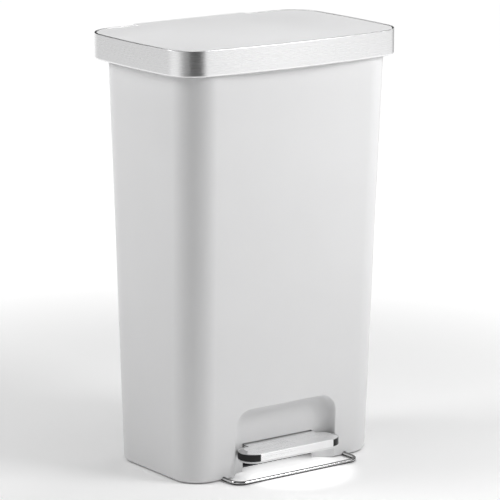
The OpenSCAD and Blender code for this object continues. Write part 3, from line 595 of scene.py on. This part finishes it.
def make_hinge_cover():
    """Wall around the hinge, under the step of the panel."""
    low, high, front = COVER_LOW.z, COVER_HIGH.z - 0.25 * MM, COVER_LOW.y
    wall, edge_r, top_edge = 2 * MM, 0.6 * MM, 0.3 * MM

    def outline(inset):
        half, rear, r = COVER_HIGH.x - inset, COVER_HIGH.y - inset, STEP_R - inset
        right = [(half, front)] + [(half - r + r * cos(a), rear - r + r * sin(a)) for a in quarter(12)]
        return right + [(-x, y) for x, y in reversed(right)]

    profile = [(inset, low + up) for inset, up in rounded(edge_r, 4)]
    profile += [(0, high - top_edge), (top_edge, high), (wall, high), (wall, low)]
    lines = [outline(inset) for inset, _ in profile]
    cover = loft("hinge_cover", [[(*line[k], z) for line, (_, z) in zip(lines, profile)]
                                 for k in range(len(lines[0]))])
    smooth(cover, 40)
    return finish_piece(cover, "lid", "lid_plastic", "lid_hinge_cover")


# ---------------------------------------------------------------- lid base
KNUCKLE_X0, KNUCKLE_X1, KNUCKLE_R, KNUCKLE_REACH = 65.2 * MM, 84.8 * MM, 8 * MM, 12.5 * MM
BUSHING_R = 4.02 * MM


def make_lid_base():
    """Underside of the lid: a plate inside a skirt, with the knuckles of the hinge."""
    outer, skirt, fillet, plate_t, band_t = 1.1 * MM, 3.5 * MM, 4 * MM, 3 * MM, 1.1 * MM
    low, high = BASE_LOW.z, BASE_HIGH.z
    plate_low, plate_high = BUMPER_TOP, BUMPER_TOP + plate_t
    rings = [lid_ring(outer + inset, low + band_t + up) for inset, up in rounded(BAND_R - 1.05 * MM, 6)]
    base = loft("lid_underside", rings + [lid_ring(outer, high)])
    below = [lid_ring(skirt - 0.4 * MM, low - 5 * MM), lid_ring(skirt, low + 2 * MM)]
    below += [lid_ring(skirt + inset, plate_low - down) for down, inset in rounded(fillet, 6)]
    above = [lid_ring(skirt, plate_high), lid_ring(skirt, high + 10 * MM)]
    half, rear, wall_rear, past = COVER_HIGH.x, CAN_Y + 160 * MM, CAN_Y + 129.5 * MM, 20 * MM
    rear_low = block((-half, SLOT_FRONT, low - past), (half, rear, plate_low))
    rear_high = block((-half, wall_rear, plate_high), (half, rear, high + past))
    combine(base, [loft("below", below), loft("above", above), rear_low, rear_high])

    hinge, overlap, steps = Vector(HINGE["pos_m"]), 1 * MM, 28
    front, rear = hinge.y - KNUCKLE_REACH, hinge.y + KNUCKLE_R
    line = [(front, plate_low + overlap), (front, plate_low - 3 * MM)]
    line += [(hinge.y - KNUCKLE_R * cos(pi * i / steps), hinge.z - KNUCKLE_R * sin(pi * i / steps))
             for i in range(steps + 1)]
    line += [(rear, plate_low + overlap)]
    combine(base, [loft("knuckle", [[(s * x, y, z) for y, z in line] for x in (KNUCKLE_X0, KNUCKLE_X1)])
                   for s in (-1, 1)], "UNION")
    circle = [(hinge.y + BUSHING_R * cos(2 * pi * i / 32), hinge.z + BUSHING_R * sin(2 * pi * i / 32))
              for i in range(32)]
    combine(base, [loft("bore", [[(s * x, y, z) for y, z in circle] for x in (60 * MM, 90 * MM)])
                   for s in (-1, 1)])
    smooth(base, 32)
    return finish_piece(base, "lid", "lid_plastic", "lid_base")


# ---------------------------------------------------------------- liner rim
def make_liner():
    """Rim in the mouth: a flange on the body, a shallow trough and a drop inside the bag's hole."""
    flange_low, flange_high = RIM_Z, LINER_HIGH.z
    trough_z, drop_z, thick = 616 * MM, LINER_LOW.z, 2 * MM
    hole_low, hole_high, hole_half, hole_r = CAN_Y - 117.5 * MM, CAN_Y + 72.5 * MM, 165 * MM, 36 * MM
    outer, wall_in = 0.5 * MM, WALL + 0.5 * MM
    edge, fillet, deep, soft, draft = 0.8 * MM, 1.5 * MM, 5 * MM, 1.8 * MM, 0.4 * MM

    def hole(grow, z):
        points = round_rect(hole_half + grow, hole_low - grow, hole_high + grow, hole_r + grow)
        return [(x, y, z) for x, y in points]

    def rim(inset, z, at):
        """Outline of the body at height at, moved to height z."""
        return [(x, y, z) for x, y, _ in body_ring(at, inset)]

    sections = [rim(wall_in, flange_low, flange_low), rim(outer, flange_low, RIM_Z)]
    sections += [rim(outer + inset, flange_high - down, RIM_Z) for down, inset in rounded(edge, 4)]
    wall_face, trough_top = wall_in + thick, trough_z + thick
    sections += [rim(wall_face - out, flange_high - down, trough_z) for out, down in rounded(fillet, 4)]
    sections += [rim(wall_face + inset, trough_top + up, trough_z) for up, inset in rounded(deep, 5)]
    sections += [hole(out, trough_top - down) for out, down in rounded(soft, 5)]
    sections += [hole(draft, drop_z), hole(thick, drop_z), hole(thick, trough_z),
                 rim(wall_in, trough_z, trough_z)]
    liner = loft("liner_frame", sections, endless=True)
    slot_front, slot_low, slot_high = CAN_Y + 70 * MM, 600 * MM, 640 * MM
    combine(liner, [block((-SLOT_HALF, slot_front, slot_low), (SLOT_HALF, SLOT_REAR, slot_high))])
    smooth(liner, 35)
    return finish_piece(liner, "can", "inner_plastic", "liner_rim")


# ---------------------------------------------------------------- pedal
PEDAL_HALF, PEDAL_FRONT = PEDAL_HIGH.x, PEDAL_LOW.y
PEDAL_R = 23 * MM
TONGUE_HALF = 64 * MM


def pedal_outline(inset, front=None):
    """Right half of the pedal's outline, inset at its ends and by another amount at its front: round front
    corners, rounded rear corners and a tongue into the doorway."""
    steps, turn = 16, radians(80)
    front = inset if front is None else front
    rx, ry, rear_r = PEDAL_R - inset, PEDAL_R - front, PEDAL_R - 1 * MM - inset
    rear_y = RECESS_BACK - 26 * MM
    cx = PEDAL_HALF - PEDAL_R
    right = [(cx * i / 10, PEDAL_FRONT + front) for i in range(10)]
    right += [(cx + rx * sin(a), PEDAL_FRONT + PEDAL_R - ry * cos(a)) for a in quarter(steps)]
    right += [(cx + rear_r * cos(turn * i / steps), rear_y + rear_r * sin(turn * i / steps))
              for i in range(steps + 1)]
    tongue, root = TONGUE_HALF - min(inset, 0.6 * MM), rear_y + rear_r
    return right + [(tongue + 0.5 * MM, root), (tongue, root + 1 * MM), (tongue, PEDAL_HIGH.y)]


def pedal_ring(inset, z, front=None):
    half = pedal_outline(inset, front)
    return [(x, y, z) for x, y in half] + [(-x, y, z) for x, y in reversed(half[1:])]


SHOULDER_FRONT, SHOULDER_SIDE, SHOULDER_DROP = 17 * MM, 10 * MM, 2.2 * MM


def make_pedal_cover():
    """Folded steel over the pedal: a skirt, a shoulder that rises from front and ends, and a flat top."""
    low, high = PEDAL_LOW.z, PEDAL_HIGH.z
    sheet, edge, end_edge, soft = 0.8 * MM, 1.0 * MM, 2.4 * MM, 1.5 * MM
    top = high - SHOULDER_DROP
    rise = SHOULDER_DROP / SHOULDER_FRONT
    rings = [pedal_ring(sheet, low), pedal_ring(0.1 * MM, low), pedal_ring(0, low + 0.2 * MM)]
    for i in range(9):
        a = radians(78) * i / 8
        rings.append(pedal_ring(end_edge * (1 - cos(a)), top - edge * (1 - sin(a)), edge * (1 - cos(a))))
    rings += [pedal_ring(SHOULDER_SIDE - 0.6 * soft, high - soft * rise, SHOULDER_FRONT - soft),
              pedal_ring(SHOULDER_SIDE - 0.2 * soft, high - 0.25 * soft * rise, SHOULDER_FRONT - 0.2 * soft),
              pedal_ring(SHOULDER_SIDE + 0.6 * soft, high, SHOULDER_FRONT + soft)]
    cover = loft("pedal_plate", rings)
    inner = loft("inner", [pedal_ring(sheet, low - 5 * MM), pedal_ring(sheet, top - sheet - 0.4 * MM),
                           pedal_ring(sheet + 3 * MM, top - sheet, sheet + 3 * MM),
                           pedal_ring(SHOULDER_SIDE, high - sheet - 0.1 * MM, SHOULDER_FRONT)])
    combine(cover, [inner])
    smooth(cover, 30)
    return finish_piece(cover, "pedal", "pedal_steel", "pedal_cover")


def make_pedal_body():
    """White body of the pedal: a lip under the cover, a core that fills it, and a seat for the lever."""
    low, high = PEDAL_BODY_LOW.z, PEDAL_BODY_HIGH.z
    lip, chamfer, core, edge = 0.4 * MM, 0.4 * MM, 1.2 * MM, 1.2 * MM
    shoulder = PEDAL_LOW.z - 0.15 * MM
    rings = [pedal_ring(lip + inset, low + up) for inset, up in rounded(edge, 5)]
    rings += [pedal_ring(lip, shoulder - chamfer), pedal_ring(lip + chamfer, shoulder),
              pedal_ring(core, shoulder), pedal_ring(core, high - SHOULDER_DROP - 1.5 * MM),
              pedal_ring(SHOULDER_SIDE, high - 0.4 * MM, SHOULDER_FRONT)]
    body = loft("pedal_core", rings)
    seat_half, seat_front, seat_rear, seat_top = 58 * MM, CAN_Y - 124.5 * MM, CAN_Y - 60 * MM, 32.05 * MM
    seat = block((-seat_half, seat_front, 0), (seat_half, seat_rear, seat_top))
    pocket_half, pocket_front, pocket_rear = 52 * MM, CAN_Y - 118 * MM, CAN_Y - 85 * MM
    pocket = block((-pocket_half, pocket_front, 30 * MM), (pocket_half, pocket_rear, 37 * MM))
    combine(body, [seat, pocket])
    smooth(body, 40)
    return finish_piece(body, "pedal", "trim_plastic", "pedal_body")


# ---------------------------------------------------------------- stabiliser wire
def make_wire():
    """Round wire that lies on the floor in front of the can, with its ends turned up inside the wall."""
    bend, up_bend, sides = 17 * MM, 9 * MM, 28
    half, front, z = WIRE_HIGH.x - WIRE_R, WIRE_LOW.y + WIRE_R, WIRE_LOW.z + WIRE_R
    end_y = WIRE_HIGH.y - WIRE_R
    right = [Vector((half * 0.9 * i / 6, front, z)) for i in range(6)]
    right += [Vector((half - bend + bend * sin(a), front + bend - bend * cos(a), z)) for a in quarter(20)]
    right += [Vector((half, end_y - up_bend + up_bend * sin(a), z + up_bend - up_bend * cos(a)))
              for a in quarter(12)]
    right += [Vector((half, end_y, WIRE_HIGH.z))]
    path = [Vector((-p.x, p.y, p.z)) for p in reversed(right[1:])] + right
    side = Vector((1, 0, 0))
    sections = []
    for i, p in enumerate(path):
        ahead = (path[min(i + 1, len(path) - 1)] - path[max(i - 1, 0)]).normalized()
        side = (side - side.dot(ahead) * ahead).normalized()
        across = ahead.cross(side)
        turns = [2 * pi * k / sides for k in range(sides)]
        sections.append([p + WIRE_R * (cos(a) * side + sin(a) * across) for a in turns])
    wire = loft("floor_wire", sections)
    smooth(wire, 40)
    return finish_piece(wire, "can", "chrome_wire", "stabiliser_wire")


# ---------------------------------------------------------------- CAD nodes with rounded edges
BODY_OF = {node: body for body, nodes in frame["record"]["behaviour"]["bodies"].items() for node in nodes}


def islands(bm):
    """Lists of connected faces, in a fixed order."""
    seen = set()
    for start in bm.faces:
        if start.index in seen:
            continue
        seen.add(start.index)
        found, edge = [start], [start]
        while edge:
            for loop_edge in edge.pop().edges:
                for face in loop_edge.link_faces:
                    if face.index not in seen:
                        seen.add(face.index)
                        found.append(face)
                        edge.append(face)
        yield found


def drive_recesses(bm):
    """Cross-shaped cutters for the heads of a group of screws. The head's end is a screw's largest face.
    A screw with no length beyond its head gets none."""
    bm.faces.ensure_lookup_table()
    bm.faces.index_update()
    cutters = []
    for faces in islands(bm):
        head = max(faces, key=lambda face: face.calc_area())
        r, into, centre = sqrt(head.calc_area() / pi), -head.normal, head.calc_center_bounds()
        length = max((v.co - centre).dot(into) for face in faces for v in face.verts)
        if length < 2 * r:
            continue
        side = into.orthogonal().normalized()
        across = into.cross(side)
        arm, slit, depth, narrowing = 0.62 * r, 0.13 * r, 1.1 * MM, 0.7
        outline = [(arm, -slit), (arm, slit), (slit, slit), (slit, arm), (-slit, arm), (-slit, slit),
                   (-arm, slit), (-arm, -slit), (-slit, -slit), (-slit, -arm), (slit, -arm), (slit, -slit)]
        rings = [[centre + side * a * wide + across * b * wide + into * t for a, b in outline]
                 for wide, t in ((1.0, -0.5 * MM), (1.0, 0.0), (narrowing, depth))]
        cutters.append(loft("recess_cutter", rings))
    return cutters


def round_edges(name, width, clamp):
    """Copy of a CAD node, in its place, with its sharp edges rounded by width. Screws get drive recesses."""
    node = frame["nodes"][name]
    mesh = node.data.copy()
    mesh.transform(node.matrix_world)
    bm = bmesh.new()
    bm.from_mesh(mesh)
    bmesh.ops.remove_doubles(bm, verts=bm.verts, dist=1e-6)
    bmesh.ops.dissolve_limit(bm, angle_limit=radians(1), verts=bm.verts, edges=bm.edges)
    bm.normal_update()
    cutters = drive_recesses(bm) if "screws" in name else []
    bm.to_mesh(mesh)
    bm.free()
    piece = add_object(name + "_rounded", mesh)
    smooth(piece, 32, width, 2, 40, clamp)
    if cutters:
        combine(piece, cutters)
        smooth(piece, 32)
    return finish_piece(piece, BODY_OF[name], SLOT_OF[name], name)


for make in (make_body, make_band, make_panel, make_hinge_cover, make_lid_base, make_liner,
             make_pedal_cover, make_pedal_body, make_wire):
    make()

REBUILT = ("body_shell", "lid_band", "lid_top_panel", "lid_hinge_cover", "lid_base", "liner_rim",
           "pedal_cover", "pedal_body", "stabiliser_wire")
LARGE = ("base_plate", "channel_cover", "hinge_bracket", "lid_cam_arm", "rod_guide_lower", "rod_guide_upper",
         "axle_bracket_left", "axle_bracket_right")
LARGE_EDGE, EDGE, FASTENER_EDGE = 0.3 * MM, 0.4 * MM, 0.2 * MM
for name in sorted(frame["nodes"]):
    if name in REBUILT:
        continue
    if name in LARGE:
        round_edges(name, LARGE_EDGE, False)
    elif "screws" in name or "clip" in name:
        round_edges(name, FASTENER_EDGE, True)
    else:
        round_edges(name, EDGE, True)

# ---------------------------------------------------------------- materials of the hidden CAD nodes
for name, node in frame["nodes"].items():
    node.data.materials.clear()
    node.data.materials.append(MATERIALS[SLOT_OF[name]])

# ---------------------------------------------------------------- floor, lights and camera
TURN = radians(36.05)
# Duller sectors of the floor: middle, half angles of its core and its edge, distances where it starts and is
# full, and the share of the glow that it keeps. The first is on the lens's side, the others beside the rear.
SECTORS = (((-sin(TURN), -cos(TURN), 0.0), 22, 50, 0.4, 0.9, 0.0),
           ((-0.588, 0.809, 0.0), 18, 38, 1.2, 1.8, 0.74),
           ((0.914, 0.407, 0.0), 8, 16, 1.5, 2.0, 0.45))
PEDAL_GLOW = (0.0, -0.125, 0.0)


def make_floor():
    """White floor that glows away from the can and under its pedal, with duller sectors far off."""
    reach = 100.0
    corners = [(-reach, -reach, 0), (reach, -reach, 0), (reach, reach, 0), (-reach, reach, 0)]
    floor = mesh_from("floor", corners, [(0, 1, 2, 3)])
    n = Nodes("floor_paper")
    fibre = n.noise(180.0, 3.0)
    away = n.vector("LENGTH", "Value", n.place)
    heading = n.vector("NORMALIZE", "Vector", n.place)
    glow = n.ramp(away, 0.5, 1.8, 0.12, 0.98, "SMOOTHSTEP")
    for middle, core, edge, near, far, keep in SECTORS:
        aim = n.vector("DOT_PRODUCT", "Value", heading, middle)
        across = n.ramp(aim, cos(radians(edge)), cos(radians(core)), 0.0, 1.0, "SMOOTHSTEP")
        inside = n.math("MULTIPLY", across, n.ramp(away, near, far, 0.0, 1.0, "SMOOTHSTEP"))
        glow = n.math("MULTIPLY", glow, n.ramp(inside, 0.0, 1.0, 1.0, keep))
    from_pedal = n.vector("DISTANCE", "Value", n.place, PEDAL_GLOW)
    glow = n.math("ADD", glow, n.ramp(from_pedal, 0.05, 0.11, 0.6, 0.0, "SMOOTHSTEP"))
    n.set(Base_Color=n.blend(fibre, grey(0.90), grey(0.92)), Roughness=0.85,
          Normal=n.bump(fibre, 0.1, 0.0002),
          Emission_Color=(1.0, 1.0, 1.0, 1.0), Emission_Strength=glow)
    floor.data.materials.append(n.material)


def softbox(name, azimuth, elevation, distance, size, power, aim_z):
    """Square light that looks at a point on the can's axis. Azimuth 0 is in front of it, 90 to its right."""
    a, e = radians(azimuth), radians(elevation)
    back = Vector((sin(a) * cos(e), -cos(a) * cos(e), sin(e)))
    light = bpy.data.lights.new(name, "AREA")
    light.shape = "SQUARE"
    light.size = size
    light.energy = power
    lamp = bpy.data.objects.new(name, light)
    lamp.location = Vector((0, 0, aim_z)) + back * distance
    lamp.rotation_mode = "QUATERNION"
    lamp.rotation_quaternion = back.to_track_quat("Z", "Y")
    bpy.context.scene.collection.objects.link(lamp)


def make_lights():
    softbox("key_right", 30, 30, 1.8, 0.8, 14.8, 0.55)
    softbox("key_low", 30, 15, 1.6, 0.7, 3.8, 0.62)
    softbox("fill_left", -120, 30, 1.8, 0.8, 14.4, 0.55)
    softbox("side_right", 60, 30, 1.8, 0.8, 2.6, 0.55)
    softbox("rear_right", 110, 30, 1.8, 0.8, 4.6, 0.55)
    softbox("front_left", -60, 12, 3.2, 1.55, 4.2, 0.33)
    softbox("top", 0, 89.9, 1.4, 1.2, 12.4, 0.65)
    world = bpy.data.worlds.new("studio")
    world.use_nodes = True
    background = world.node_tree.nodes["Background"].inputs
    background["Color"].default_value = (1.0, 1.0, 1.0, 1.0)
    background["Strength"].default_value = 0.02
    bpy.context.scene.world = world
    bpy.context.scene.view_settings.view_transform = "Standard"


def make_camera():
    """Long lens from the front left, a little above the lid."""
    pitch, distance, focal = radians(12.69), 4.6677, 223.02
    aside, below = 0.00783, 0.00947
    back = Vector((-sin(TURN) * cos(pitch), -cos(TURN) * cos(pitch), sin(pitch)))
    right = Vector((cos(TURN), -sin(TURN), 0))
    up = back.cross(right)
    aim = Vector((0, CAN_Y, cad_high.z / 2))
    data = bpy.data.cameras.new("camera")
    data.sensor_width = 36
    data.lens = focal
    camera = bpy.data.objects.new("camera", data)
    camera.location = aim + back * distance + right * aside - up * below
    camera.rotation_mode = "QUATERNION"
    camera.rotation_quaternion = back.to_track_quat("Z", "Y")
    data.clip_start, data.clip_end = 0.1, 400
    bpy.context.scene.collection.objects.link(camera)
    bpy.context.scene.camera = camera


make_floor()
make_lights()
make_camera()
